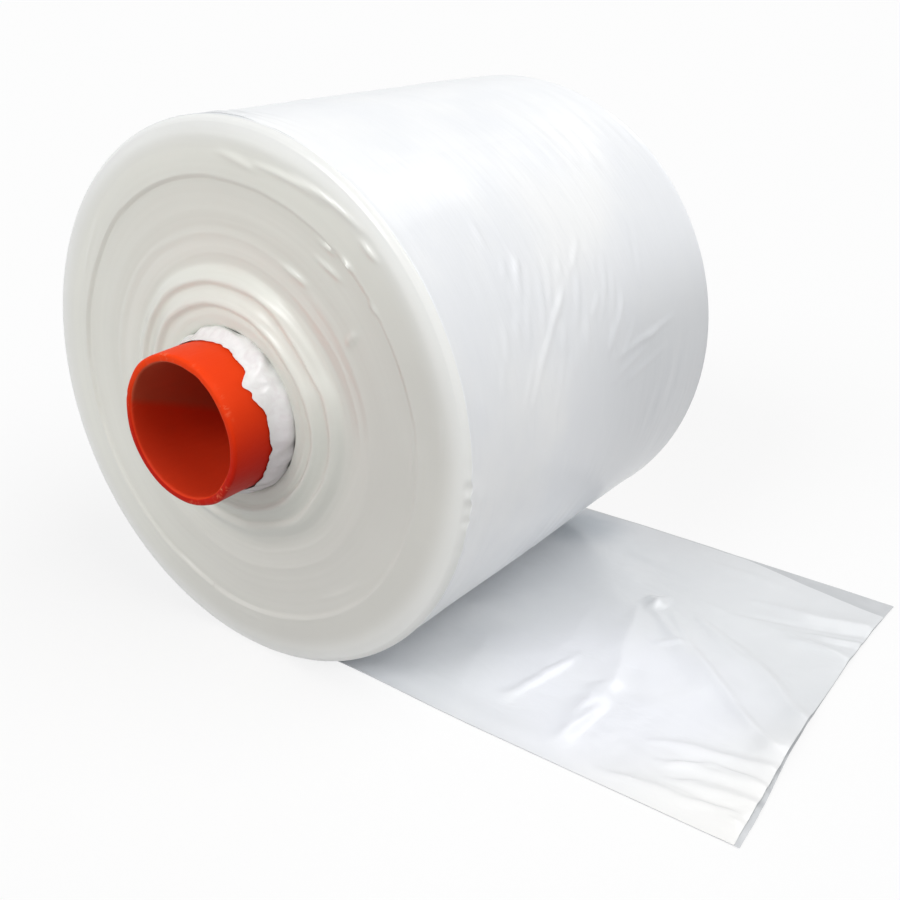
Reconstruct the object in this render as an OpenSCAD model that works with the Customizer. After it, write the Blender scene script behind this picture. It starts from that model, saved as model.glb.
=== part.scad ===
// Roll of folded tubular film for bin bags, wound on a plastic core.
// The roll lies on its side on a small flat spot, with the last stretch of film laid out in front of it.
// The axis runs along Y. The near end faces -Y and the tail points to +X.
// The origin is on the floor under the middle of the roll.

/* [Core] */
// Inner diameter of the core, for a winder's shaft
core_bore_d = 76; // [25:1:152]
// Wall of the core
core_wall = 5; // [2:0.5:12]
// How far the core stands out of the wound film at each end
core_stand_out = 43; // [30:1:120]
// Radius of the rounded lips
core_lip_r = 2; // [0.5:0.1:2.2]

/* [Wound film] */
// Outer diameter of the wound film
roll_d = 318; // [240:1:500]
// Width of the film on the roll, which is flattened tube
film_w = 270; // [150:1:600]
// Width of the flat spot that the roll's weight presses
flat_w = 56; // [20:1:80]
// Spacing of the ridges that bunches of turns make in the end faces
ridge_pitch = 3.2; // [2:0.1:10]
// Height of those ridges
ridge_h = 0.7; // [0.1:0.1:2]
// Radial clearance between the pieces that are wound on each other
wound_gap = 0.1; // [0.05:0.05:0.5]

/* [Outer turns] */
// Number of outer turns that wander towards the far end
loose_turns = 3; // [1:1:6]
// Thickness of one loose turn, with the air under it
turn_t = 0.9; // [0.5:0.1:2]
// How far the last turn has wandered where it leaves the roll
wander = 15; // [2:0.5:30]
// Angle above +X at which the turns begin to wander
wander_start = 60; // [30:5:90]
// How much further back each loose turn starts than the one under it
turn_setback = 0.5; // [0.2:0.1:2]
// Angle short of straight down at which the loose turns pass into the flat spot
lay_down = 9; // [7:0.5:10]

/* [Tail] */
// Length of the tail from under the axis to its end
tail_len = 304; // [220:1:600]
// Thickness of one ply of the laid film
ply_t = 0.5; // [0.3:0.1:1]
// Angle between the tail and the square direction
tail_skew = 2.3; // [0:0.1:5]
// How much the laid film spreads at each edge once it is off the roll
tail_spread = 2.5; // [0:0.5:10]
// How far the upper ply has slid off the lower one at the end
ply_slip = 22; // [6:1:40]
// How far the far corner of the end reaches past the middle
end_bow = 7.5; // [0:0.5:20]
// Height of the folds, as a share of the laid film's own
fold_scale = 1; // [0.2:0.1:1.5]

/* [Starter wrap] */
// Thickness of the film that ties the first turn to the core
wrap_t = 1.2; // [0.6:0.1:3]
// How far the wrap runs in under the first turns
wrap_in = 26; // [10:1:60]
// How far the torn edge reaches out of the face, without its tears
wrap_out = 13; // [8:0.5:20]
// How far the loose crumples stand off the core
crumple_h = 3; // [0.5:0.1:4]

/* [Hidden] */
$fn = 96;
core_r = core_bore_d / 2 + core_wall;
core_len = film_w + 2 * core_stand_out;
roll_r = roll_d / 2;
// The flat spot lies on both plies of the tail
web_t = 2 * ply_t;
axis_h = sqrt(pow(roll_r, 2) - pow(flat_w / 2, 2)) + web_t;
tight_r = roll_r - loose_turns * turn_t;
film_bore_r = core_r + wound_gap;
wrap_seat_r = film_bore_r + wrap_t + wound_gap;
// Angle by which the straight and the wandering stretches of the outer turns overlap
lap = 3;
// Depth of the straight stretch under the wandering one, which is wound later
turn_rise = 0.2;
reach = 4 * (roll_d + film_w);

// Telescoping of the wound film, as pairs of depth in from the roll's surface and
// how far the film stands out there at the near end; the far end falls in by the same amount
telescope = [
    [0, -3.5], [4, -1], [9, 0.8],
    [28, 1.2], [29.5, 4.2], [33.5, 3.4], [35, 1.8],
    [63, 0.4], [65, -0.8], [77, 0.2], [79, 2.2],
    [86, 3.2], [88, 5.2], [97, 6.6], [99, 8.8], [107, 7.6], [109, 5], [116, 4.2]
];
function stand_out(r) = lookup(roll_r - r, telescope);
rim_out = stand_out(roll_r);
seat_out = stand_out(wrap_seat_r);

// Folds of the tail: two ends in the tail's own frame, height and half width.
// Most of them fan out from one spot towards the end.
folds = [
    [[176, 44], [186, 36], 5, 9],
    [[186, 30], [222, 0], 3.5, 11],
    [[222, 0], [296, -58], 6, 13],
    [[212, 44], [300, -30], 5, 11],
    [[205, 60], [302, 52], 3, 14],
    [[232, 80], [304, 98], 4, 11],
    [[176, 30], [196, -52], 4, 12],
    [[150, 34], [160, -100], 3, 13],
    [[196, -60], [200, -122], 4, 10],
    [[236, -88], [300, -78], 5.5, 9],
    [[262, -112], [303, -106], 4.5, 8],
    [[226, -128], [300, -130], 3.5, 8],
    [[96, 100], [150, 20], 2, 20],
    [[110, -60], [134, -132], 2.5, 16]
];
fold_from = 52;
fold_ramp = 40;

// Puts a shape made around +Z on the roll's axis, with +Z turned to the near end
module on_axis() {
    translate([0, 0, axis_h]) rotate([90, 0, 0]) children();
}

// Rises smoothly from 0 to 1 while x goes from a to b
function ramp(x, a, b) = let (u = min(1, max(0, (x - a) / (b - a)))) u * u * (3 - 2 * u);

function flatten(rows) = [for (row = rows) for (p = row) p];

// Triangles of a grid of points; when wrap is true the last column joins the first
function grid_faces(rows, cols, first, flip, wrap = false) = [
    for (i = [0:rows - 2], j = [0:wrap ? cols - 1 : cols - 2])
        let (
            a = first + i * cols + j,
            b = first + i * cols + (j + 1) % cols,
            c = b + cols,
            d = a + cols
        )
        each flip ? [[a, c, b], [a, d, c]] : [[a, b, c], [a, c, d]]
];

// Triangles that join a loop of a sheet's first face to the same loop of its second, n points on
function rim_faces(loop, n) = [
    for (k = [0:len(loop) - 1])
        let (p = loop[k], q = loop[(k + 1) % len(loop)])
        each [[q, p, n + p], [q, n + p, n + q]]
];

// Core: one plain tube with rounded lips

module core_profile() {
    lip = min(core_lip_r, 0.45 * core_wall);
    half = core_len / 2;
    hull()
        for (r = [core_bore_d / 2 + lip, core_r - lip], z = [lip - half, half - lip])
            translate([r, z]) circle(lip, $fn = 32);
}

module core_tube() {
    color([0.88, 0.2, 0.06])
        on_axis() rotate_extrude() core_profile();
}

// Starter wrap: a torn, crumpled band on the core, half under the first turns

wrap_cols = 72;
wrap_rows = 9;

// Torn edge, measured out from the face, with one long tag at the upper right
function torn(a) =
    wrap_out + 1.3 * sin(3 * a + 40) + sin(7 * a) + 0.7 * sin(13 * a + 70)
    + 7 * exp(-pow((a - 42) / 7, 2)) + 3 * exp(-pow((a - 30) / 9, 2));

// How far a crumple lifts off the core at angle a and share v of the way out
function crumple(a, v) =
    crumple_h * ramp(v, 0, 0.25) * (1 - 0.75 * ramp(v, 0.35, 1))
    * (1 + 0.35 * sin(5 * a + 200 * v) + 0.25 * sin(11 * a - 260 * v) + 0.15 * sin(17 * a + 90));

function wrap_point(a, r, z) = [r * cos(a), r * sin(a), z];

module starter_wrap() {
    face = film_w / 2 + seat_out;
    inner_r = film_bore_r / cos(180 / wrap_cols);
    angles = [for (j = [0:wrap_cols - 1]) j * 360 / wrap_cols];
    // Share of the way out from the face; the first row is the end under the turns
    shares = [for (i = [0:wrap_rows - 1]) max(0, (i - 1) / (wrap_rows - 2))];
    depths = [for (i = [0:wrap_rows - 1]) i == 0 ? -wrap_in : 0];
    outer = [for (i = [0:wrap_rows - 1]) [for (a = angles) wrap_point(
        a, film_bore_r + wrap_t + crumple(a, shares[i]), face + depths[i] + shares[i] * torn(a))]];
    inner = [for (i = [0:wrap_rows - 1]) [for (a = angles) wrap_point(
        a, inner_r, face + depths[i] + shares[i] * torn(a))]];
    n = wrap_rows * wrap_cols;
    far_loop = [for (j = [wrap_cols - 1:-1:0]) j];
    torn_loop = [for (j = [0:wrap_cols - 1]) n - wrap_cols + j];
    color([0.97, 0.96, 0.96])
        on_axis()
            polyhedron(
                flatten(concat(outer, inner)),
                concat(
                    grid_faces(wrap_rows, wrap_cols, 0, true, true),
                    grid_faces(wrap_rows, wrap_cols, n, false, true),
                    rim_faces(far_loop, n),
                    rim_faces(torn_loop, n)),
                convexity = 6);
}

// Film roll: the wound turns and the tail are one web

// Section of the tight turns: the ridges of both end faces follow the telescoping,
// so that each turn keeps the film's width
module turns_profile() {
    steps = round((tight_r - film_bore_r) / ridge_pitch);
    radii = [for (i = [0:steps]) film_bore_r + (tight_r - film_bore_r) * i / steps];
    shift = [for (i = [0:steps]) stand_out(radii[i]) + ridge_h * sin(137.5 * i)];
    polygon(concat(
        [for (i = [0:steps]) [radii[i], film_w / 2 + shift[i]]],
        [for (i = [steps:-1:0]) [radii[i], -film_w / 2 + shift[i]]]));
}

// One outer turn from where it starts to wander down to the flat spot; its lower part
// is sunk in the turn below
module wandering_turn(k) {
    outer_r = tight_r + k * turn_t;
    band = 1.6 * turn_t;
    away = wander * pow(k / loose_turns, 1.5);
    lean = atan(away / (2 * outer_r));
    intersection() {
        rotate(wander_start - lap)
            rotate_extrude(angle = 270 - lay_down - wander_start + lap)
                translate([outer_r - band, -film_w])
                    square([band, 2 * film_w]);
        rotate([0, 0, wander_start])
            rotate([0, -lean, 0])
                translate([0, 0, rim_out - away / 2 - k * turn_setback])
                    cube([reach, reach, film_w], center = true);
    }
}

// Room that the starter wrap has pushed out of the first turns: straight inside, and
// flared at the face where its crumples lift off the core
module wrap_seat_profile() {
    face = film_w / 2 + seat_out;
    flare_r = wrap_seat_r + 2 * crumple_h;
    bottom = face - wrap_in - wound_gap;
    polygon([
        [0, bottom], [wrap_seat_r, bottom], [wrap_seat_r, face - crumple_h],
        [flare_r, face + 1], [flare_r, face + roll_r], [0, face + roll_r]
    ]);
}

module wound_turns() {
    difference() {
        on_axis() {
            rotate_extrude() turns_profile();
            rotate(-90 - lay_down - lap)
                rotate_extrude(angle = 90 + lay_down + wander_start + lap)
                    translate([tight_r - turn_t, rim_out - film_w / 2])
                        square([roll_r - turn_rise - tight_r + turn_t, film_w]);
            for (k = [1:loose_turns]) wandering_turn(k);
        }
        on_axis() rotate_extrude() wrap_seat_profile();
        translate([0, 0, web_t - reach / 2]) cube(reach, center = true);
    }
}

// Tail

tail_rows = 35;
upper_cols = 28;
// How far the web has wandered under the axis, with the rim's own setback
tail_shift = wander * (1 - cos(270 - wander_start)) / 2 - rim_out;
tail_start = 2 - flat_w / 2;

// Distance from p to the stretch between a and b
function off_stretch(p, a, b) =
    let (ab = b - a, u = min(1, max(0, ((p - a) * ab) / (ab * ab))))
    norm(p - a - u * ab);

// Height of the laid film's underside
function lift(s, t) =
    fold_scale * ramp(s, fold_from, fold_from + fold_ramp)
    * max([for (f = folds) f[2] * exp(-pow(off_stretch([s, t], f[0], f[1]) / f[3], 2))]);

// Far edge of the upper ply, which slides off the lower one towards the end
function slip(s) = max(3, ply_slip * sin(90 * ramp(s, tail_len / 3, tail_len)));

function tail_end(t) = tail_len + end_bow * pow(max(0, t + 30) / 165, 2);

// Across positions of one row: the upper ply, its edge, and the strip of lower ply
function tail_across(s) =
    let (
        half = film_w / 2 + tail_spread * ramp(s, fold_from, tail_len / 2),
        edge = half - slip(s)
    )
    concat([for (j = [0:upper_cols]) -half + (edge + half) * j / upper_cols], [edge + ply_t, half]);

function tail_point(s, t, z) = [
    s * cos(tail_skew) - t * sin(tail_skew),
    s * sin(tail_skew) + t * cos(tail_skew) + tail_shift,
    z
];

module tail() {
    cols = upper_cols + 3;
    // The first stretch is under the roll, where it stays flat and starts square to the roll
    along = concat(
        [tail_start, fold_from],
        [for (i = [1:tail_rows - 2]) fold_from + (tail_len - fold_from) * i / (tail_rows - 2)]);
    stretch = [for (s = along) (s - tail_start) / (tail_len - tail_start)];
    function at(i, t) =
        along[i] + stretch[i] * (tail_end(t) - tail_len) + (1 - stretch[i]) * t * tan(tail_skew);
    across = [for (s = along) tail_across(s)];
    under = [for (i = [0:tail_rows - 1]) [for (t = across[i]) lift(at(i, t), t)]];
    bottom = [for (i = [0:tail_rows - 1]) [for (j = [0:cols - 1])
        tail_point(at(i, across[i][j]), across[i][j], under[i][j])]];
    top = [for (i = [0:tail_rows - 1]) [for (j = [0:cols - 1])
        tail_point(
            at(i, across[i][j]), across[i][j], under[i][j] + (j <= upper_cols ? 2 : 1) * ply_t)]];
    n = tail_rows * cols;
    last = (tail_rows - 1) * cols;
    outline = concat(
        [for (j = [0:cols - 1]) j],
        [for (i = [1:tail_rows - 1]) i * cols + cols - 1],
        [for (j = [cols - 2:-1:0]) last + j],
        [for (i = [tail_rows - 2:-1:1]) i * cols]);
    polyhedron(
        flatten(concat(top, bottom)),
        concat(
            grid_faces(tail_rows, cols, 0, false),
            grid_faces(tail_rows, cols, n, true),
            rim_faces(outline, n)),
        convexity = 8);
}

module film_roll() {
    color([0.93, 0.94, 0.95])
        union() {
            wound_turns();
            tail();
        }
}

core_tube();
starter_wrap();
film_roll();
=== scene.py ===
"""A jumbo roll of bin bag film on a red plastic core, lying on a white floor with its tail laid out.

Everything is in metres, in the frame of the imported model: the roll's axis runs along Y, the near
end faces -Y, the tail points to +X and the floor is at z = 0.
"""

import math
import random

import bmesh
import bpy
import numpy as np
from mathutils import Matrix, Vector


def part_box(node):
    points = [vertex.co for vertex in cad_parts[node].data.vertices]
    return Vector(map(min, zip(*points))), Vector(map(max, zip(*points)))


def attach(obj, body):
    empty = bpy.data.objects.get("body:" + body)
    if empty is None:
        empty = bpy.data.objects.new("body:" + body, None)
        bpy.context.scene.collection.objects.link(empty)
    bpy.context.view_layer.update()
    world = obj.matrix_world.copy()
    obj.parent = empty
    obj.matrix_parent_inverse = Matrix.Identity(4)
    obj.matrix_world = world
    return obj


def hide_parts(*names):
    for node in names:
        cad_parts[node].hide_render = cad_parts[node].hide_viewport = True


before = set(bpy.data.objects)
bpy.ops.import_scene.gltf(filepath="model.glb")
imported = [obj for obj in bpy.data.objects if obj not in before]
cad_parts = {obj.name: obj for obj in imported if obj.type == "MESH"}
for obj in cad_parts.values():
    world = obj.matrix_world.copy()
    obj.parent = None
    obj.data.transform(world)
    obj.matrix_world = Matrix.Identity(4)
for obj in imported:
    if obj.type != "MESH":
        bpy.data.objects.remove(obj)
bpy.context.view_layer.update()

# Sizes taken from the frame
core_low, core_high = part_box("core_tube")
film_low, film_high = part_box("film_roll")
AXIS_Z = (core_low.z + core_high.z) / 2
CORE_R = core_high.z - AXIS_Z
CORE_HALF = core_high.y
ROLL_R = -film_low.x

# Core and wound film: the wall and the collar of torn film, the web, the flat spot under it, its
# thickness on the floor and on the roll, and how far it lies in from the near rim
CORE_WALL = 0.005
COLLAR_R = 0.0478
FILM_W = 0.270
FLAT_HALF = 0.028
WEB_T = 0.001
TURN_T = 0.0009
LOOSE_TURNS = 3
RIM_SETBACK = 0.0050

# Tail: its length, how far it has wandered, its turn, its spread, the slip of its inner ply and
# the bow of its end
TAIL_LEN = 0.304
TAIL_SHIFT = 0.0175
TAIL_SKEW = math.radians(2.3)
TAIL_SPREAD = 0.0025
PLY_SLIP = 0.022
END_BOW = 0.0075

# Angles round the roll: where the last turns begin to wander, where the loose ones start, and
# where the last turn comes down on the floor
WANDER_FROM = math.radians(60)
LOOSE_FROM = WANDER_FROM - 0.10
LAY_DOWN = math.acos(-FLAT_HALF / ROLL_R) - math.pi / 2
LAID_AT = 1.5 * math.pi - LAY_DOWN

# Sizes of the visible film: how thick it is, the gap that keeps two skins apart, how high the
# lowest film lies over the floor, and how far the torn wrap reaches out of the end face
FILM_THICK = 0.00025
HAIR = 0.0001
ON_FLOOR = 0.00015
WRAP_REACH = 0.0132

# Sizes of the visible core: its bore and the rounding of its lips
BORE_R = CORE_R - CORE_WALL
LIP_R = 0.0019

# Telescoping of the film: depth in from the roll's surface and how far it stands out at the near
# end, in millimetres. Each bunch of turns bulges more towards the core and then drops back.
TELESCOPE = (
    (0.0, -5.0), (0.4, -4.0), (1.0, -3.0), (2.0, -1.9), (3.5, -0.9), (6, -0.1),
    (9, 0.6), (20, 1.6), (30.3, 2.4),
    (31.3, 0.8), (45, 0.4), (58, 0.6), (61, 1.1), (65, 0.5),
    (73, 0.6), (78.5, 1.2), (86, 5.5), (87.2, 4.8), (88.6, 3.3),
    (91, 4.0), (97.6, 8.0), (98.8, 7.2), (100.2, 5.4), (104, 5.9), (109, 5), (116, 4.2),
)

# Folds of the tail: two ends in the tail's own plan, height and half width, in millimetres
FOLDS = (
    ((174, 46), (184, 38), 3.0, 6),
    ((186, 30), (296, -58), 3.4, 10),
    ((210, 42), (300, -22), 3.0, 9),
    ((205, 60), (302, 52), 2.0, 12),
    ((232, 80), (304, 98), 2.4, 9),
    ((268, 62), (306, 74), 2.2, 6),
    ((176, 30), (196, -52), 1.8, 10),
    ((150, 34), (160, -100), 1.4, 11),
    ((168, -38), (155, -106), 2.4, 6),
    ((194, -36), (197, -122), 2.4, 7),
    ((154, -102), (159, -78), 1.6, 5),
    ((236, -92), (300, -76), 3.2, 7),
    ((248, -106), (301, -92), 2.6, 5),
    ((258, -118), (303, -106), 2.8, 6),
    ((226, -130), (300, -124), 2.2, 6),
    ((96, 100), (150, 20), 1.2, 18),
    ((110, -60), (134, -132), 1.6, 12),
)

# Creases on those folds and between them, given in the same way; what is below zero is a dent
FINE_FOLDS = (
    ((181, 30), (186, 52), 1.9, 3.0),
    ((156, -106), (162, -78), 1.1, 2.5),
    ((162, -80), (168, -38), 0.7, 3.5),
    ((196, -122), (203, -84), 1.4, 3.0),
    ((203, -84), (194, -38), 0.9, 4.0),
    ((195, 36), (226, 3), 1.2, 2.6),
    ((200, -4), (216, 10), 1.5, 2.6),
    ((224, 5), (262, -31), 1.7, 2.8),
    ((258, -28), (300, -64), 1.3, 3.5),
    ((210, 42), (249, 22), 1.2, 3.0),
    ((245, 26), (299, -20), 1.3, 3.5),
    ((243, -30), (266, -42), -1.0, 6.0),
    ((226, 59), (309, 85), -1.1, 3.0),
    ((268, 66), (314, 79), -1.3, 2.6),
    ((266, 50), (301, 54), 1.4, 4.0),
    ((229, -131), (246, -127), 1.0, 2.0),
    ((252, -107), (276, -90), 1.6, 2.4),
    ((271, -92), (303, -88), 1.6, 2.4),
    ((266, -129), (311, -113), 1.3, 2.4),
    ((262, -116), (274, -107), 1.0, 2.0),
    ((290, -128), (306, -131), 0.9, 2.0),
    ((170, 112), (252, 112), 0.9, 5.0),
    ((130, 96), (200, 84), 0.8, 5.0),
)

# Where along the tail the folds begin, and over what length they grow
FOLD_FROM = 0.052
FOLD_RAMP = 0.040

# Camera: its place, the way it looks and its lens
CAMERA_AT = (0.4332, -0.5382, 0.4065)
CAMERA_YAW = math.radians(35.33)
CAMERA_PITCH = math.radians(24.96)
CAMERA_ROLL = math.radians(2.30)
CAMERA_LENS = 44.93

# How far the floor shines by itself to the eye, and how much light the sky gives
FLOOR_GLOW = 0.80
SKY_LIGHT = 0.22

# Soft lights: where each comes from, its strength and its spread in degrees
LIGHTS = {
    "key": ((0.55, 0.16, 0.82), 1.80, 52),
    "fill": ((-0.10, -0.97, 0.22), 0.90, 80),
    "window_behind": ((0.02, 0.68, 0.73), 0.18, 22),
    "window_in_front": ((-0.12, -0.80, 0.59), 1.02, 24),
}


# Meshes

def ramp(x, a, b):
    """Rises smoothly from 0 to 1 while x goes from a to b."""
    u = np.clip((x - a) / (b - a), 0, 1)
    return u * u * (3 - 2 * u)


def waves(u, v, seed, count, length, heading=0.0, spread=math.pi):
    """A smooth random relief of about unit height: a sum of waves near one length and heading."""
    draw = random.Random(seed)
    total = np.zeros(np.broadcast(u, v).shape)
    for _ in range(count):
        way = heading + spread * draw.uniform(-1, 1)
        k = 2 * math.pi / (length * draw.uniform(0.6, 1.7))
        total += np.sin(k * (u * math.cos(way) + v * math.sin(way)) + draw.uniform(0, 2 * math.pi))
    return total * math.sqrt(2 / count) / 1.4


def lumps(u, v, seed, octaves=3):
    """An irregular relief between about -1 and 1, with lumps one unit wide and finer ones on them."""
    size = 64
    total = 0.0
    for octave in range(octaves):
        lattice = np.random.default_rng(seed + octave).uniform(-1, 1, (size, size))
        a, b = np.broadcast_arrays(u * 2.0 ** octave, v * 2.0 ** octave)
        i, j = np.floor(a).astype(int), np.floor(b).astype(int)
        p, q = ramp(a - i, 0, 1), ramp(b - j, 0, 1)
        i, j, i2, j2 = i % size, j % size, (i + 1) % size, (j + 1) % size
        low = lattice[i, j] * (1 - p) + lattice[i2, j] * p
        high = lattice[i, j2] * (1 - p) + lattice[i2, j2] * p
        total = total + (low * (1 - q) + high * q) * 0.5 ** octave
    return total


def off_stretch(u, v, a, b):
    """Distance of points from the straight stretch between a and b, and the share of the way along."""
    (au, av), (bu, bv) = a, b
    du, dv = bu - au, bv - av
    share = np.clip(((u - au) * du + (v - av) * dv) / (du * du + dv * dv), 0, 1)
    return np.hypot(u - au - share * du, v - av - share * dv), share


def in_metres(marks, place):
    """Marks given in millimetres, put in metres; place does it for their ends."""
    return [(place(*a), place(*b), height / 1000, width / 1000) for a, b, height, width in marks]


def creases(u, v, marks):
    """Relief of single creases, given as two ends, height and half width; their ends fade out."""
    relief = np.zeros(np.broadcast(u, v).shape)
    for a, b, height, width in marks:
        off, share = off_stretch(u, v, a, b)
        relief = relief + height * np.exp(-(off / width) ** 2) * (0.25 + 3 * share * (1 - share))
    return relief


def around(r, theta, y):
    """Points at radius r and angle theta round the roll's axis."""
    return np.stack([r * np.cos(theta), y + 0 * r * theta, AXIS_Z + r * np.sin(theta)], axis=-1)


def closed(index):
    """Repeats the first column of a grid of point numbers after its last."""
    return np.concatenate([index, index[:, :1]], axis=1)


def quads(index):
    """Four-cornered faces of a grid of point numbers."""
    corners = (index[:-1, :-1], index[:-1, 1:], index[1:, 1:], index[1:, :-1])
    return np.stack(corners, axis=-1)


def make_mesh(name, points, faces, slots=None, crisp=50):
    """A smooth mesh object, with its edges left crisp where faces meet at more than some degrees."""
    mesh = bpy.data.meshes.new(name)
    mesh.from_pydata(points.reshape(-1, 3).tolist(), [], faces.tolist())
    if slots is not None:
        mesh.polygons.foreach_set("material_index", slots.astype(np.int32))
    skin = bmesh.new()
    skin.from_mesh(mesh)
    bmesh.ops.recalc_face_normals(skin, faces=skin.faces)
    skin.to_mesh(mesh)
    skin.free()
    mesh.shade_smooth()
    mesh.set_sharp_from_angle(angle=math.radians(crisp))
    piece = bpy.data.objects.new(name, mesh)
    bpy.context.scene.collection.objects.link(piece)
    return piece


def ring_mesh(name, points, slots=None, crisp=50):
    """A closed mesh of a section that goes round the roll: its rows and its columns both join up."""
    rows, cols = points.shape[:2]
    index = closed(np.arange(rows * cols).reshape(rows, cols))
    faces = quads(np.concatenate([index, index[:1]]))
    per_face = None if slots is None else np.repeat(slots, cols)
    return make_mesh(name, points, faces.reshape(-1, 4), per_face, crisp)


def sheet_mesh(name, front, back, slots=None, joined=False):
    """A closed thin mesh from the points of a sheet's front and back; joined makes it a sleeve.

    The slots are one for each row of faces, and a last one for the rim.
    """
    rows, cols = front.shape[:2]
    count = rows * cols
    index = np.arange(count).reshape(rows, cols)
    if joined:
        index = closed(index)
        edges = [index[0], index[-1, ::-1]]
    else:
        edges = [np.concatenate([index[0], index[1:, -1], index[-1, -2::-1], index[-2::-1, 0]])]
    faces = quads(index).reshape(-1, 4)
    rims = [np.stack([e[1:], e[:-1], e[:-1] + count, e[1:] + count], axis=-1) for e in edges]
    every = np.concatenate([faces, faces[:, ::-1] + count, *rims])
    per_face = None
    if slots is not None:
        per_quad = np.repeat(slots[:-1], index.shape[1] - 1)
        rim_slot = np.full(sum(map(len, rims)), slots[-1])
        per_face = np.concatenate([per_quad, per_quad, rim_slot])
    return make_mesh(name, np.stack([front, back]), every, per_face)


def dress(piece, finishes, node):
    """Finishes a piece, hangs it on the empty that carries it, and hides the solid that it stands for."""
    for finish in finishes:
        piece.data.materials.append(finish)
    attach(piece, "root")
    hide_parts(node)


# Wound film

# Glints of the near end face: ridges where single turns stand out, as two ends of radius in
# millimetres and angle in degrees, height and half width in millimetres
FACE_RIDGES = (
    ((141.8, 91.3), (136.4, 80.3), 0.9, 1.5),
    ((140.3, 80.5), (143.9, 61.1), 1.3, 1.6),
    ((144.3, 70.2), (148.4, 51.9), 1.3, 1.5),
    ((144.6, 50.7), (145.1, 45.5), 1.4, 1.5),
    ((125.5, 58.6), (126.6, 53.6), 1.6, 1.5),
    ((116.3, 57.8), (119.0, 48.5), 1.4, 1.5),
    ((129.2, 52.0), (129.5, 48.0), 1.5, 1.5),
    ((98.5, 66.1), (99.2, 56.0), 1.5, 1.8),
    ((128.0, 40.4), (128.5, 37.1), 1.5, 1.5),
    ((100.3, 34.5), (109.6, 36.6), 1.1, 1.8),
    ((127.2, 13.7), (124.1, -5.8), 0.8, 1.4),
    ((145.1, 13.2), (143.2, 4.6), 0.7, 1.4),
    ((134.0, 160.0), (139.0, 140.0), 0.5, 1.6),
    ((118.0, -60.0), (121.0, -40.0), 0.5, 1.6),
    ((131.0, -110.0), (134.0, -85.0), 0.6, 1.6),
)

# Creases of the wound side: two ends of angle in degrees and place along the axis in
# millimetres, height and half width in millimetres
SIDE_CREASES = (
    ((46.3, -72.6), (40.1, -74.8), 0.54, 2.0),
    ((37.2, -66.3), (33.3, -71.9), 0.62, 1.8),
    ((36.9, -54.2), (33.5, -58.8), 0.62, 1.8),
    ((26.2, -86.2), (19.2, -91.4), 0.71, 1.8),
    ((26.0, -76.8), (21.9, -77.0), 0.78, 1.8),
    ((26.0, -35.1), (15.8, -63.0), 1.02, 2.0),
    ((19.4, -56.5), (8.0, -79.2), 0.94, 2.2),
    ((28.2, -24.9), (22.8, -41.4), 0.94, 2.0),
    ((35.7, 5.5), (29.9, -13.7), 0.71, 2.2),
    ((21.5, -33.7), (16.1, -41.2), 0.78, 1.8),
    ((20.2, -10.8), (13.6, -15.2), 0.86, 1.8),
    ((17.0, -24.2), (8.9, -30.8), 0.86, 1.8),
    ((21.1, 31.1), (11.4, 8.0), 1.02, 2.0),
    ((17.6, 17.9), (11.6, 6.3), 0.86, 2.0),
    ((24.4, 7.0), (20.2, -4.0), 0.78, 2.0),
    ((12.5, 92.0), (9.7, 12.8), 0.94, 2.0),
    ((6.7, 79.3), (3.1, 24.0), 0.78, 1.7),
    ((11.0, 66.0), (10.4, 50.0), 0.86, 1.7),
    ((30.0, -60.0), (20.5, -70.0), 0.66, 1.5),
    ((31.0, -44.0), (21.0, -55.0), 0.72, 1.5),
    ((24.0, -94.0), (14.0, -100.0), 0.66, 1.6),
    ((17.5, -70.0), (9.0, -84.0), 0.66, 1.5),
    ((14.0, -44.0), (5.0, -54.0), 0.66, 1.5),
    ((27.0, 20.0), (18.0, 2.0), 0.66, 1.5),
    ((16.0, 42.0), (8.5, 20.0), 0.72, 1.6),
    ((9.5, 60.0), (5.0, 8.0), 0.66, 1.5),
    ((100.0, -131.0), (69.0, -122.5), 0.78, 1.8),
    ((102.0, -126.0), (73.0, -117.0), 0.71, 1.8),
    ((104.0, -121.0), (80.0, -112.0), 0.62, 1.8),
    ((17.0, -118.0), (8.0, -118.5), 0.62, 2.0),
    ((1.0, -130.0), (-4.0, -122.0), 0.60, 2.4),
    ((-10.0, -130.0), (-2.5, -122.0), 0.66, 2.4),
    ((150.0, -40.0), (135.0, 30.0), 0.47, 2.0),
    ((215.0, 60.0), (190.0, 20.0), 0.47, 2.2),
)


def telescope(depth):
    """How far the film stands out at the near end, at a depth in from the roll's surface."""
    depths, heights = zip(*TELESCOPE)
    return 0.001 * np.interp(depth * 1000, depths, heights)


def face_relief(r, theta, seed, marks=()):
    """Telescoping with the wobble and the fine steps that bunches of turns leave."""
    x, z = r * np.cos(theta), r * np.sin(theta)
    depth = ROLL_R - r
    inner = ramp(depth, 0.004, 0.012)
    near_core = 1 - ramp(r, 0.075, 0.105)
    wobble = (0.0010 + 0.0014 * near_core) * lumps(x / 0.05, z / 0.05, seed, 3)
    # Fine and broad steps follow the turns, which aren't quite round, and are livelier at the core
    turns_r = r + 0.0022 * lumps(x / 0.08, z / 0.08, seed + 10, 3)
    lively = 0.28 + 0.72 * near_core
    fine = 0.00014 * lively * waves(turns_r, 0 * theta, seed + 2, 9, 0.0042, 0, 0)
    steps = fine + 0.00026 * lively * waves(turns_r, 0 * theta, seed + 3, 6, 0.014, 0, 0)
    swell = 0.0011 * lumps(x / 0.07, z / 0.07, seed + 20, 2)
    ridges = in_metres(marks, lambda mm, degrees: (mm / 1000, mm / 1000 * math.radians(degrees)))
    return telescope(depth + wobble * inner) + (steps + swell) * inner + creases(r, r * theta, ridges)


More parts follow.
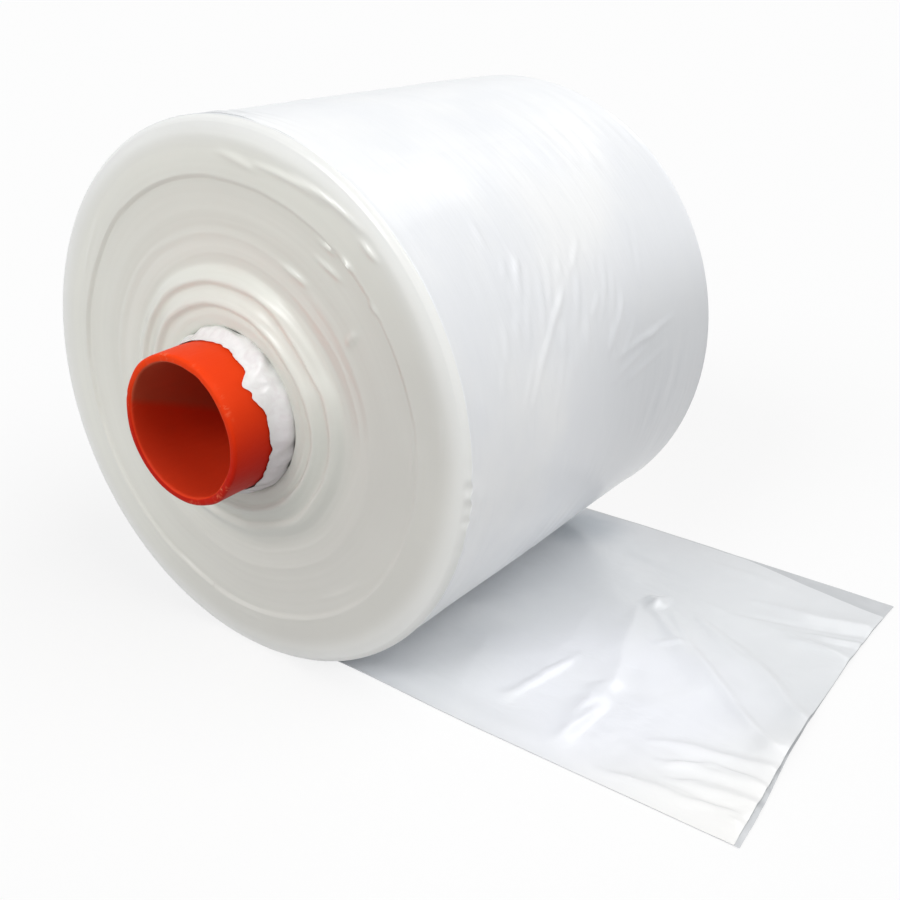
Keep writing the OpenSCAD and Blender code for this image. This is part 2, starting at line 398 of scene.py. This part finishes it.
def side_relief(theta, y):
    """Wrinkles of the wound side: slanting ones where the film pulls, single creases and puckers."""
    arc = ROLL_R * theta
    degrees = np.degrees(theta)
    pull = ramp(degrees, 4, 18) * (1 - ramp(degrees, 26, 42)) * (1 - ramp(np.abs(y + 0.020), 0.05, 0.10))
    wrinkles = waves(arc, y, 31, 9, 0.012, 2.02, 0.10) * ramp(lumps(arc / 0.03, y / 0.012, 36, 2), -0.3, 0.7)
    puckers = waves(arc, y, 33, 10, 0.018, 1.75, 0.25)
    pucker_patch = ramp(lumps(arc / 0.09, y / 0.07, 34, 2), 0.15, 0.9)
    swell = lumps(arc / 0.16, y / 0.09, 35, 2)
    marks = in_metres(SIDE_CREASES, lambda turned, mm: (math.radians(turned) * ROLL_R, mm / 1000))
    relief = 0.00045 * wrinkles * pull + 0.00015 * puckers * pucker_patch + 0.0005 * swell
    return relief + creases(arc, y, marks) - 0.0004


def lie_flat(points, floor):
    """Presses what would pass through the floor flat on it."""
    points[..., 2] = np.maximum(points[..., 2], floor)
    return points


def wound_angles(count):
    """Angles round the roll from its lowest point, closer together on the side of the tail."""
    crowding, sparse_at = 0.52, 0.40
    even = np.linspace(0, 1, count, endpoint=False)
    bunch = crowding * np.sin(2 * math.pi * (even - sparse_at)) / (2 * math.pi)
    return ((even - bunch + bunch[0]) * 2 * math.pi - math.pi / 2)[None, :]


def make_wound_turns(finishes):
    """All the tight turns: both end faces, the side and the bore, as one closed skin."""
    theta = wound_angles(372)
    degrees = np.degrees(theta)
    half = FILM_W / 2
    near_seat = CORE_R + 0.0016
    far_seat = CORE_R + 0.0003
    # Under the loose turns the side lies lower; elsewhere it is the roll's own surface
    turned = theta - WANDER_FROM
    to_floor = LAID_AT - WANDER_FROM
    covered = ramp(turned, 0.0, 0.35) * (1 - ramp(turned, to_floor - 0.05, to_floor))
    lowered = LOOSE_TURNS * TURN_T * covered
    side_r = ROLL_R - HAIR - lowered
    # At the near rim the turns keep their height for as long as the loose turns lie close behind it
    rim_r = ROLL_R - 3 * HAIR - lowered * ramp(degrees, 125, 160)

    near_share = np.concatenate([np.linspace(0, 0.968, 102), np.linspace(0.971, 1, 12)])[:, None]
    near_r = near_seat + (rim_r - HAIR - near_seat) * near_share
    near_y = -half - face_relief(near_r, theta, 11, FACE_RIDGES)
    # Round the torn wrap the face draws in, and its rim is frayed low on the side of the tail
    drawn_in = 0.0045 * (1 - ramp(near_r, near_seat, COLLAR_R + 0.0012))
    frayed = 0.0012 * np.exp(-((degrees + 6) / 9) ** 2) * ramp(near_r, rim_r - 0.004, rim_r)
    near_y = near_y + drawn_in + frayed * lumps(theta / 0.03, 0 * near_r, 41, 2)
    near = around(near_r, theta, near_y)

    far_share = np.concatenate([np.linspace(1, 0.97, 7), np.linspace(0.94, 0, 17)])[:, None]
    far_r = far_seat + (side_r - HAIR - far_seat) * far_share
    # The far rim stays square for as deep as the loose turns start in it
    far_y = half - face_relief(far_r + 0.004, theta, 11)
    far = around(far_r, theta, far_y)

    rim_share = 0.0022
    rim_rows = [0, 0.0009, rim_share, 0.0030, 0.0038]
    across = np.concatenate([rim_rows, np.linspace(0.012, 1, 121)])[:, None]
    side_y = near_y[-1:] + (far_y[:1] - near_y[-1:]) * across
    # The wrinkles fade out at both rims, and the near rim is rounded over
    end_in = np.minimum(ramp(across, 0, 0.01), 1 - ramp(across, 0.99, 1))
    rounded = 2 * HAIR * np.sin(across / rim_share * math.pi / 2)
    rounded_r = np.where(across <= rim_share, rim_r + rounded, side_r)
    side = around(rounded_r + side_relief(theta, side_y) * end_in, theta, side_y)

    points = lie_flat(np.concatenate([near, side, far]), WEB_T)
    slots = np.zeros(len(points), int)
    slots[len(near) - 1:len(near) + len(side) - 1] = 1
    piece = ring_mesh("wound_turns", points, slots, crisp=75)
    dress(piece, finishes, "film_roll")


def web_offset(theta):
    """How far the web has wandered towards the far end, at an angle on the roll."""
    laid = 1 - math.cos(LAID_AT - WANDER_FROM)
    share = (1 - np.cos(np.maximum(theta, WANDER_FROM) - WANDER_FROM)) / laid
    return RIM_SETBACK + (TAIL_SHIFT - FLAT_HALF * math.sin(TAIL_SKEW) - RIM_SETBACK) * share


def loose_edges(theta, across, seed):
    """Small waves in the edges of a loose turn."""
    at_edge = ramp(np.abs(across), 0.42, 0.5)
    return 0.0005 * np.sign(across) * at_edge * lumps(theta / 0.09 + 7 * np.sign(across), 0 * across, seed, 3)


def make_loose_turn(k, finish):
    """One turn under the last one, which has wandered less."""
    theta = np.linspace(LOOSE_FROM, LAID_AT - 0.02 * (LOOSE_TURNS - k), 210)[:, None]
    across = np.linspace(-0.5, 0.5, 46)[None, :]
    share = (k / LOOSE_TURNS) ** 1.5
    offset = RIM_SETBACK + 2 * HAIR * k + (web_offset(theta) - RIM_SETBACK) * share
    y = FILM_W * across + offset + loose_edges(theta, across, 50 + k)
    buried = 0.0008 * (1 - ramp(theta, LOOSE_FROM, LOOSE_FROM + 0.30))
    r = ROLL_R - (LOOSE_TURNS - k) * TURN_T - HAIR - buried + side_relief(theta, y)
    front = lie_flat(around(r, theta, y), WEB_T)
    back = lie_flat(around(r - TURN_T, theta, y), WEB_T + 2 * HAIR)
    piece = sheet_mesh(f"loose_turn_{k}", front, back)
    dress(piece, [finish], "film_roll")


# Tail

def flat_place(s_mm, t_mm):
    return s_mm / 1000, t_mm / 1000


def lift(s, t):
    """Height of the laid film over the floor: the folds, each with a broad foot and a sharp crest."""
    air, eased = 0.0010, 0.0008
    height = np.zeros(np.broadcast(s, t).shape)
    bend_s = 0.0035 * lumps(s / 0.045, t / 0.045, 71)
    bend_t = 0.0035 * lumps(s / 0.045, t / 0.045, 75)
    for a, b, high, wide in in_metres(FOLDS, flat_place):
        off, share = off_stretch(s + bend_s, t + bend_t, a, b)
        grown = 0.25 + 0.75 * ramp(share, -0.02, 0.5)
        d = off / (wide * grown)
        height = np.maximum(height, grown * high * (0.70 * np.exp(-d * d) + 0.30 * np.exp(-3.2 * d)))
    corner = ramp(s, 0.19, 0.28) * ramp(-t, 0.03, 0.10)
    crumples = waves(s, t, 72, 7, 0.020, 1.35, 0.28) * lumps(s / 0.03, t / 0.03, 76)
    height = height + 0.0009 * np.abs(crumples) * corner
    fine = creases(s + bend_s / 2, t + bend_t / 2, in_metres(FINE_FOLDS, flat_place))
    height = height + air + fine
    height = height + 0.0008 * lumps(s / 0.05, t / 0.05, 73, 2) + 0.0002 * lumps(s / 0.014, t / 0.02, 74, 2)
    # A smooth floor: what would go below it is eased up to it
    height = (height + np.hypot(height, eased)) / 2
    return height * ramp(s, FOLD_FROM, FOLD_FROM + FOLD_RAMP)


def tail_end(t):
    """Where the tail ends, at a place across it; it bows out towards the far corner."""
    return TAIL_LEN + END_BOW * (np.maximum(0, t + 0.03) / 0.165) ** 2


def slip(s):
    """How far the upper ply's far edge lies in from the lower ply's."""
    return np.maximum(0.003, PLY_SLIP * ramp(s, 0.17, 0.33))


def laid_point(s, t, z):
    """A point of the tail from its own plan, which turns to its skew as it leaves the roll."""
    turn = TAIL_SKEW * ramp(s, -FLAT_HALF, FOLD_FROM)
    x = s * np.cos(turn) - t * np.sin(turn)
    y = s * np.sin(TAIL_SKEW) + t * np.cos(turn) + TAIL_SHIFT
    return np.stack([x + 0 * z, y + 0 * z, z], axis=-1)


def half_width(s):
    """Half the width of the film, which spreads a little on the floor."""
    return FILM_W / 2 + TAIL_SPREAD * ramp(s, FOLD_FROM, TAIL_LEN / 2)


def end_share(s):
    """Weight with which the shape of the tail's end moves a station along the tail."""
    return ((s + FLAT_HALF) / (TAIL_LEN + FLAT_HALF)) ** 8


def make_lower_ply(finishes):
    """The outer ply of the last turn: down the back of the roll, under it and out to the end."""
    on_roll = 200
    across = np.linspace(-0.5, 0.5, 110)[None, :]
    theta = np.linspace(LOOSE_FROM, LAID_AT, on_roll, endpoint=False)[:, None]
    y = FILM_W * across + web_offset(theta) + loose_edges(theta, across, 60)
    buried = 0.0010 * (1 - ramp(theta, LOOSE_FROM, LOOSE_FROM + 0.20))
    r = ROLL_R - buried + side_relief(theta, y)
    s = np.linspace(-FLAT_HALF, TAIL_LEN, 160)[:, None]
    t = half_width(s) * 2 * across
    near_corner = 0.003 * ramp(-t, 0.04, 0.12)
    s = s + end_share(s) * (tail_end(t) - TAIL_LEN + near_corner)
    # It follows the folds of the ply on it, less high
    under = ON_FLOOR + 0.72 * lift(s, t) * ramp(t + half_width(s), -0.004, 0.012)
    front = np.concatenate([around(r, theta, y), laid_point(s, t, under)])
    back = np.concatenate([around(r - TURN_T, theta, y), laid_point(s, t, under + FILM_THICK)])
    slots = np.zeros(len(front), int)
    slots[on_roll:-1] = 1
    front, back = lie_flat(front, ON_FLOOR), lie_flat(back, ON_FLOOR + FILM_THICK)
    piece = sheet_mesh("lower_ply", front, back, slots)
    dress(piece, finishes, "film_roll")


def make_upper_ply(finish):
    """The inner ply of the last turn, which lies on the other and has slid off it at the far edge."""
    start = -0.98 * FLAT_HALF
    across = np.linspace(0, 1, 150)[None, :]
    s = np.linspace(start, TAIL_LEN, 180)[:, None]
    half = half_width(s)
    t = -half + (2 * half - slip(s)) * across
    s = s + end_share(s) * (tail_end(t) - TAIL_LEN)
    curl = 0.004 * ramp(s, TAIL_LEN - 0.022, TAIL_LEN + 0.004) * np.exp(-((t + 0.045) / 0.035) ** 2)
    apart = 0.00046 + 0.0004 * ramp(t + half, 0.001, 0.012)
    under = apart + lift(s, t) * ramp(t + half, -0.004, 0.012) + curl
    piece = sheet_mesh("upper_ply", laid_point(s, t, under + FILM_THICK), laid_point(s, t, under))
    dress(piece, [finish], "film_roll")


# Starter wrap

def torn_edge(a):
    """How far the torn edge reaches out of the end face, with one long tag at the upper right."""
    degrees = np.degrees(a)
    long_tag = 0.0085 * np.exp(-((degrees - 43) / 6) ** 2) + 0.004 * np.exp(-((degrees - 31) / 7) ** 2)
    upper = 0.0012 * np.exp(-((degrees - 66) / 14) ** 2)
    teeth = 0.0012 * lumps(a / 0.34, 0 * a, 91, 2)
    spikes = 0.0022 * (0.4 - np.abs(lumps(a / 0.16, 0 * a, 92, 1)))
    nicks = 0.0004 * lumps(a / 0.05, 0 * a, 97, 2)
    return WRAP_REACH + 0.0010 * np.sin(3 * a + 0.7) + long_tag + upper + teeth + spikes + nicks


def make_torn_wrap(finish):
    """The torn first film on the core: soft folds that stand off the core and thin out to the tear."""
    a = np.linspace(0, 2 * math.pi, 340, endpoint=False)[None, :]
    signed = np.where(a > math.pi, a - 2 * math.pi, a)
    v = np.linspace(-0.45, 1, 48)[:, None]
    out = torn_edge(signed)
    # The end face stands out by 4.2 mm at the core
    face = FILM_W / 2 + 0.0042
    stand = ramp(v, -0.42, -0.05) * (1 - 0.94 * ramp(v, 0.05, 1))
    twist = 0.35 * v
    # Each relief fades out where it would not join up round the core
    folds = lumps((a + twist) / 0.42, v * 1.3, 93, 2) * np.minimum(1, 4 * np.abs(np.sin(a / 2)))
    crush = waves(signed * 3.4, v, 94, 6, 1.3, 0.5, 0.6) * np.minimum(1, 4 * np.abs(np.cos(a / 2)))
    bulge = COLLAR_R - CORE_R - 0.0008
    r = CORE_R + 0.0004 + bulge * stand * (1 + 0.34 * folds + 0.12 * crush)
    r = r + 0.0003 * lumps(a / 0.09, v * 2, 95, 2) * ramp(v, -0.1, 0.3) * (1 - 0.6 * v)
    y = -face - v * out
    piece = sheet_mesh("torn_wrap", around(r + FILM_THICK, a, y), around(r, a, y), joined=True)
    dress(piece, [finish], "starter_wrap")


# Core

def lip_rows(end):
    """Radius and place along the axis round the lip at one end, from the outside in."""
    turns = [share * math.pi / 2 for share in np.linspace(0, 1, 7)]
    outer = [(CORE_R - LIP_R + LIP_R * math.cos(turn), turn) for turn in turns]
    inner = [(BORE_R + LIP_R - LIP_R * math.cos(turn), turn) for turn in reversed(turns)]
    return [(r, end * (CORE_HALF - LIP_R + LIP_R * math.sin(turn))) for r, turn in outer + inner]


def make_core_pipe(finish):
    """The core: a turned tube whose lips are rounded and a little knocked about."""
    theta = np.linspace(0, 2 * math.pi, 224, endpoint=False)[None, :]
    straight = CORE_HALF - 0.006
    bore = [(BORE_R, y) for y in np.linspace(-straight, straight, 26)]
    outside = [(CORE_R, y) for y in np.linspace(straight, -straight, 30)]
    profile = np.array(lip_rows(-1) + bore + lip_rows(1)[::-1] + outside)
    r, y = profile[:, :1], profile[:, 1:]
    at_end = ramp(np.abs(y), CORE_HALF - 0.03, CORE_HALF)
    worn = 0.00025 * at_end * waves(np.cos(theta) * 0.05, np.sin(theta) * 0.05 + y, 101, 7, 0.035)
    knocked = ramp(waves(CORE_R * np.cos(theta), CORE_R * np.sin(theta), 102, 8, 0.012), 0.5, 1.4)
    knocks = 0.00035 * knocked * ramp(np.abs(y), CORE_HALF - 0.004, CORE_HALF)
    piece = ring_mesh("core_pipe", around(r + worn, theta, y - np.sign(y) * knocks))
    dress(piece, [finish], "core_tube")


# Finishes

class Wire:
    """A shader socket that takes part in Python sums; the operators add Math nodes."""

    def __init__(self, finish, socket):
        self.finish = finish
        self.socket = socket

    def math(self, operation, *others):
        sockets = dict(enumerate((self, *others)))
        return self.finish.add("ShaderNodeMath", {"operation": operation}, sockets)

    def __add__(self, other):
        return self.math("ADD", other)

    __radd__ = __add__

    def __mul__(self, other):
        return self.math("MULTIPLY", other)

    __rmul__ = __mul__

    def __sub__(self, other):
        return self.math("SUBTRACT", other)

    def __rsub__(self, other):
        return (self * -1) + other

    def __pow__(self, other):
        return self.math("POWER", other)

    def __abs__(self):
        return self.math("ABSOLUTE")


class Finish:
    """The nodes of one material or sky, written as expressions on wires."""

    def __init__(self, owner):
        self.owner = owner
        owner.use_nodes = True
        self.tree = owner.node_tree
        self.tree.nodes.clear()

    def add(self, kind, settings=None, sockets=None, out=0):
        """Adds one node: its settings first, then the values and links of its sockets."""
        node = self.tree.nodes.new(kind)
        for key, value in (settings or {}).items():
            setattr(node, key, value)
        for key, value in (sockets or {}).items():
            if isinstance(value, Wire):
                self.tree.links.new(value.socket, node.inputs[key])
            else:
                node.inputs[key].default_value = value
        return Wire(self, node.outputs[out]) if node.outputs else None

    def place(self):
        """The point on the surface, in metres in the part's frame, as three wires."""
        at = self.add("ShaderNodeTexCoord", out="Object")
        split = self.add("ShaderNodeSeparateXYZ", sockets={0: at})
        node = split.socket.node
        return at, *(Wire(self, node.outputs[k]) for k in range(3))

    def vector(self, x, y, z):
        return self.add("ShaderNodeCombineXYZ", sockets={0: x, 1: y, 2: z})

    def noise(self, at, scale, detail=2.0, roughness=0.5, distortion=0.0):
        sockets = {
            "Vector": at, "Scale": scale, "Detail": detail,
            "Roughness": roughness, "Distortion": distortion,
        }
        return self.add("ShaderNodeTexNoise", {"noise_dimensions": "3D"}, sockets)

    def rise(self, value, low, high):
        """0 to 1 as the value goes from low to high, smoothly."""
        settings = {"interpolation_type": "SMOOTHSTEP"}
        return self.add("ShaderNodeMapRange", settings, {0: value, 1: low, 2: high})

    def blend(self, share, first, second):
        """A mix of two colours."""
        settings = {"data_type": "RGBA"}
        return self.add("ShaderNodeMix", settings, {0: share, 6: first, 7: second}, out=2)

    def bump(self, height, distance, strength=1.0, under=None):
        sockets = {"Height": height, "Distance": distance, "Strength": strength}
        if under is not None:
            sockets["Normal"] = under
        return self.add("ShaderNodeBump", sockets=sockets)

    def surface(self, shader):
        """Ends the material with its shader."""
        self.add("ShaderNodeOutputMaterial", sockets={"Surface": shader})
        return self.owner

    def plastic(self, base, rough, normal, fixed):
        """Ends the material as plastic: what varies over it, and the sockets that stay the same."""
        sockets = {"Base Color": base, "Roughness": rough, "Normal": normal, "IOR": 1.5, **fixed}
        return self.surface(self.add("ShaderNodeBsdfPrincipled", sockets=sockets))


def new_finish(name):
    return Finish(bpy.data.materials.new(name))


def colour(r, g, b):
    return (r, g, b, 1.0)


def far_from(x, y, x0, y0):
    """Distance of x and y from a point in plan."""
    return ((x - x0) ** 2.0 + (y - y0) ** 2.0) ** 0.5


def end_face_finish():
    """The film's cut edges, seen end on: smooth, waxy, warm grey, with faint rings of turns."""
    f = new_finish("film_edges")
    at, x, y, z = f.place()
    up = z - AXIS_Z
    r = (x * x + up * up) ** 0.5
    drift = f.noise(at, 11.0, 2.0)
    ring = f.vector(r + drift * 0.006, 0.0, 0.0)
    coarse = f.noise(ring, 60.0, 2.0, 0.5)
    fine = f.noise(ring, 420.0, 2.0, 0.5)
    patches = f.noise(at, 12.0, 3.0, 0.5)
    # Painted shade: the face is darker towards its lower right, away from the light
    painted_shade_lower_right = f.rise(x - up * 0.8, -0.06, 0.14)
    near_core = 1 - f.rise(r, CORE_R, CORE_R + 0.055)
    rim = f.rise(r, ROLL_R - 0.020, ROLL_R - 0.002)
    base = f.blend(f.rise(coarse, 0.3, 0.7), colour(0.785, 0.785, 0.72), colour(0.85, 0.85, 0.785))
    base = f.blend(f.rise(fine, 0.45, 0.75) * 0.16, base, colour(0.86, 0.86, 0.80))
    base = f.blend(painted_shade_lower_right * 0.85, base, colour(0.65, 0.64, 0.60))
    # Greener and darker near the core: a painted tint that cancels the red light which the core bounces onto
    # the face
    base = f.blend(near_core * 0.5, base, colour(0.69, 0.745, 0.67))
    # Painted highlight: cream crescents on the upper slopes of the rings round the core, where the light
    # catches them
    painted_crescents = f.rise(r, 0.060, 0.064) * (1 - f.rise(r, 0.080, 0.084)) * f.rise(x * 0.2 + up, 0.015, 0.050)
    base = f.blend(painted_crescents * 0.55, base, colour(0.89, 0.89, 0.82))
    # Whiter towards the rim to match the side film, and partly a painted glow of light through the
    # translucent film edge
    base = f.blend(rim * 0.9, base, colour(0.90, 0.905, 0.885))
    base = f.blend(f.rise(patches, 0.5, 0.8) * 0.25, base, colour(0.84, 0.84, 0.79))
    rough = 0.26 + patches * 0.16
    ridged = f.bump(coarse * 0.2 + fine * 0.15, 0.0010, 0.25)
    crinkle = f.noise(f.vector(x, y * 0.3, z), 45.0, 3.0, 0.55)
    normal = f.bump(crinkle, 0.0010, 0.20, ridged)
    return f.plastic(base, rough, normal, {
        "Coat Weight": 0.50, "Coat Roughness": 0.17,
        "Subsurface Weight": 0.2, "Subsurface Scale": 0.010, "Subsurface Radius": (1.0, 0.99, 0.96),
    })


def film_side_finish():
    """The smooth side of the roll: pearly white satin film with faint streaks round it."""
    f = new_finish("film_side")
    at, x, y, z = f.place()
    up = z - AXIS_Z
    arc = up.math("ARCTAN2", x) * ROLL_R
    streak_at = f.vector(arc * 0.10, y, 0.0)
    streaks = f.noise(streak_at, 260.0, 3.0, 0.55)
    broad = f.noise(f.vector(arc * 0.3, y, 0.0), 22.0, 3.0, 0.5)
    cloud = f.noise(at, 10.0, 3.0, 0.55)
    base = f.blend(f.rise(cloud, 0.35, 0.7), colour(0.86, 0.875, 0.90), colour(0.94, 0.945, 0.945))
    base = f.blend(f.rise(streaks, 0.55, 0.8) * 0.4, base, colour(0.83, 0.845, 0.87))
    # Painted shade: the back half of the roll is darker, which sets its top edge off from the white behind it
    back = 1 - f.rise(x, -0.022, 0.024)
    base = f.blend(back * 0.7, base, colour(0.73, 0.745, 0.76))
    # Painted shade: darker low on the right side towards the far end, where less light falls
    painted_shade_far_right = f.rise(y, -0.06, 0.07) * f.rise(x, 0.10, 0.15) * (1 - f.rise(up, 0.02, 0.09))
    base = f.blend(painted_shade_far_right * 0.85, base, colour(0.655, 0.67, 0.69))
    rough = 0.24 + broad * 0.2
    crinkle = f.noise(f.vector(arc * 0.45, y, 0.0), 120.0, 4.0, 0.6)
    low = f.bump(broad, 0.004, 0.35)
    normal = f.bump(streaks * 0.6 + crinkle * 0.5, 0.0007, 0.35, low)
    return f.plastic(base, rough, normal, {"Coat Weight": 0.35, "Coat Roughness": 0.12})


def laid_film_finish():
    """The laid tail: glossy, silvery and thin, with painted shade near the roll, a painted highlight in its
    middle and painted light at its near end.
    """
    f = new_finish("laid_film")
    at, x, y, z = f.place()
    cloud = f.noise(at, 15.0, 3.0, 0.5)
    # Painted highlight: a pale lilac patch in the middle of the tail
    painted_highlight_patch = 1 - f.rise(far_from(x, y, 0.215, -0.045) + cloud * 0.05, 0.06, 0.14)
    # Painted light: the near end of the tail is warm white, as if lit from low in front
    painted_light_near_end = f.rise(x - y * 0.9, 0.27, 0.40)
    # Painted shade: the tail is greyer next to the roll, in its shadow and reflection, and lighter further
    # out
    out_of_root_shade = f.rise(x + cloud * 0.08, 0.08, 0.24)
    base = f.blend(out_of_root_shade, colour(0.655, 0.675, 0.70), colour(0.72, 0.735, 0.75))
    base = f.blend(painted_highlight_patch * 0.8, base, colour(0.84, 0.85, 0.895))
    # Painted shade: a dark blue-grey patch at the far root of the tail, beside the roll
    painted_shade_far_root = 1 - f.rise(far_from(x, y, 0.085, 0.135) + cloud * 0.03, 0.02, 0.06)
    base = f.blend(painted_shade_far_root * 0.9, base, colour(0.40, 0.44, 0.48))
    base = f.blend(painted_light_near_end, base, colour(0.895, 0.89, 0.875))
    base = f.blend(f.rise(cloud, 0.5, 0.75) * 0.25, base, colour(0.84, 0.85, 0.86))
    rough = 0.26 + cloud * 0.12
    crease = f.noise(at, 30.0, 3.0, 0.5, 0.8)
    fine = f.noise(f.vector(x * 0.5, y, z), 110.0, 3.0, 0.55)
    low = f.bump(crease, 0.0030, 0.30)
    normal = f.bump(fine, 0.0005, 0.25, low)
    return f.plastic(base, rough, normal, {"Coat Weight": 0.6, "Coat Roughness": 0.10})


def single_ply_finish():
    """The lower ply, whose bare strip at the far edge is thinner to the eye and greyer."""
    f = new_finish("single_ply")
    at, x, y, z = f.place()
    cloud = f.noise(at, 24.0, 3.0, 0.5)
    base = f.blend(f.rise(cloud, 0.35, 0.7), colour(0.52, 0.535, 0.55), colour(0.63, 0.64, 0.655))
    rough = 0.27 + cloud * 0.10
    normal = f.bump(f.noise(f.vector(x * 0.4, y, z), 60.0, 3.0, 0.5), 0.0012, 0.3)
    return f.plastic(base, rough, normal, {"Coat Weight": 0.4, "Coat Roughness": 0.12})


def torn_film_finish():
    """Crumpled glossy white film, with a painted pink reflection of the core, and painted shade on its lower
    side.
    """
    f = new_finish("torn_film")
    at, x, y, z = f.place()
    mottle = f.noise(at, 120.0, 4.0, 0.6, 0.8)
    # The darker mottle is pink: a painted reflection of the red core on the white film
    base = f.blend(f.rise(mottle, 0.3, 0.6), colour(0.90, 0.87, 0.875), colour(0.97, 0.965, 0.96))
    # Painted shade: the lower part of the wrap is greyer and lilac
    painted_shade_underside = 1 - f.rise(z - AXIS_Z, -0.020, 0.030)
    base = f.blend(painted_shade_underside * 0.7, base, colour(0.68, 0.63, 0.66))
    rough = 0.28 + mottle * 0.2
    crush = f.noise(at, 110.0, 2.0, 0.5, 1.0)
    normal = f.bump(crush, 0.0008, 0.25)
    return f.plastic(base, rough, normal, {"Coat Weight": 0.7, "Coat Roughness": 0.10})


def core_finish():
    """Red-orange satin plastic, darker red on its lower half outside as painted shade, with a painted shadow
    in the upper bore, and scuffed on its lips.
    """
    f = new_finish("core_plastic")
    at, x, y, z = f.place()
    up = z - AXIS_Z
    r = (x * x + up * up) ** 0.5
    inside = 1 - f.rise(r, BORE_R + 0.0002, BORE_R + 0.0012)
    cloud = f.noise(at, 35.0, 3.0, 0.55)
    scuffs = f.noise(f.vector(x, y * 0.25, z), 420.0, 3.0, 0.65)
    base = f.blend(cloud, colour(0.90, 0.046, 0.003), colour(0.98, 0.064, 0.005))
    # Painted shade: the outside of the core is a darker red on its lower half
    painted_shade_underneath = (1 - inside) * (1 - f.rise(up, -0.020, 0.040))
    base = f.blend(painted_shade_underneath, base, colour(0.52, 0.010, 0.001))
    # Painted shadow: the bore is browner above a line that falls as it goes deeper, where the upper lip
    # shades it
    depth = CORE_HALF - abs(y)
    deep = f.rise(up + depth * 0.39, 0.004, 0.011)
    bore = f.blend(deep, colour(0.76, 0.050, 0.014), colour(0.59, 0.100, 0.045))
    base = f.blend(inside, base, bore)
    lips = f.rise(abs(y), CORE_HALF - 0.005, CORE_HALF - 0.001)
    worn = f.noise(at, 55.0, 2.0, 0.5)
    scuffed = f.rise(scuffs, 0.50, 0.70) * f.rise(worn, 0.5, 0.7) * lips
    base = f.blend(scuffed * 0.6, base, colour(0.95, 0.34, 0.18))
    rough = 0.36 + cloud * 0.16 + scuffs * 0.08
    normal = f.bump(scuffs * 0.5 + cloud, 0.0008, 0.35)
    return f.plastic(base, rough, normal, {"Specular IOR Level": 0.10})


def floor_finish():
    """Nearly plain white to the eye and to glossy rays, with the shadow kept; darker to other rays."""
    f = new_finish("floor_white")
    eye = f.add("ShaderNodeLightPath", out="Is Camera Ray")
    mirrored = f.add("ShaderNodeLightPath", out="Is Glossy Ray")
    path = eye.math("MAXIMUM", mirrored)
    shade = f.blend(path, colour(0.38, 0.38, 0.38), colour(0.90, 0.90, 0.90))
    matt = f.add("ShaderNodeBsdfDiffuse", sockets={"Color": shade})
    glow = f.add("ShaderNodeEmission", sockets={"Color": colour(1, 1, 1), "Strength": 1.0})
    shader = f.add("ShaderNodeMixShader", sockets={0: path * FLOOR_GLOW, 1: matt, 2: glow})
    return f.surface(shader)


# Stage, light and camera

def make_floor():
    """A wide floor that belongs to the stage and not to the object."""
    reach = 60.0
    corners = [(-reach, -reach, 0), (reach, -reach, 0), (reach, reach, 0), (-reach, reach, 0)]
    mesh = bpy.data.meshes.new("floor")
    mesh.from_pydata(corners, [], [(0, 1, 2, 3)])
    floor = bpy.data.objects.new("floor", mesh)
    bpy.context.scene.collection.objects.link(floor)
    floor.data.materials.append(floor_finish())


def make_sky():
    """White to the eye and to glossy rays, a plain soft light to everything else."""
    world = bpy.data.worlds.new("studio")
    bpy.context.scene.world = world
    f = Finish(world)
    seen = f.add("ShaderNodeLightPath", out="Is Camera Ray")
    for ray in ("Is Glossy Ray", "Is Transmission Ray"):
        seen = seen.math("MAXIMUM", f.add("ShaderNodeLightPath", out=ray))
    strength = SKY_LIGHT + seen * (1 - SKY_LIGHT)
    sockets = {"Color": colour(0.98, 0.99, 1.0), "Strength": strength}
    sky = f.add("ShaderNodeBackground", sockets=sockets)
    f.add("ShaderNodeOutputWorld", sockets={"Surface": sky})


def make_lights():
    """A broad key and a fill, and two smaller windows that give the film its glints."""
    for name, (source, strength, spread) in LIGHTS.items():
        light = bpy.data.lights.new(name, "SUN")
        light.energy = strength
        light.angle = math.radians(spread)
        lamp = bpy.data.objects.new(name, light)
        lamp.rotation_mode = "QUATERNION"
        lamp.rotation_quaternion = (-Vector(source)).to_track_quat("-Z", "Y")
        bpy.context.scene.collection.objects.link(lamp)


def make_camera():
    """The camera, at its place and turned by its yaw, pitch and roll."""
    cos, sin = math.cos, math.sin
    yaw, pitch, roll = CAMERA_YAW, CAMERA_PITCH, CAMERA_ROLL
    forward = Vector((-sin(yaw) * cos(pitch), cos(yaw) * cos(pitch), -sin(pitch)))
    level = Vector((cos(yaw), sin(yaw), 0))
    above = level.cross(forward)
    right = cos(roll) * level + sin(roll) * above
    up = cos(roll) * above - sin(roll) * level
    lens = bpy.data.cameras.new("camera")
    lens.lens = CAMERA_LENS
    lens.sensor_width = 36
    camera = bpy.data.objects.new("camera", lens)
    turn = Matrix((right, up, -forward)).transposed()
    camera.matrix_world = Matrix.Translation(CAMERA_AT) @ turn.to_4x4()
    bpy.context.scene.collection.objects.link(camera)
    bpy.context.scene.camera = camera


def build():
    """Every piece, with its finish."""
    side = film_side_finish()
    ends = end_face_finish()
    laid = laid_film_finish()
    make_wound_turns([ends, side])
    for k in range(1, LOOSE_TURNS):
        make_loose_turn(k, side)
    make_lower_ply([side, single_ply_finish()])
    make_upper_ply(laid)
    make_core_pipe(core_finish())
    make_torn_wrap(torn_film_finish())


make_camera()
make_floor()
make_sky()
make_lights()
build()
bpy.context.scene.view_settings.view_transform = "Standard"
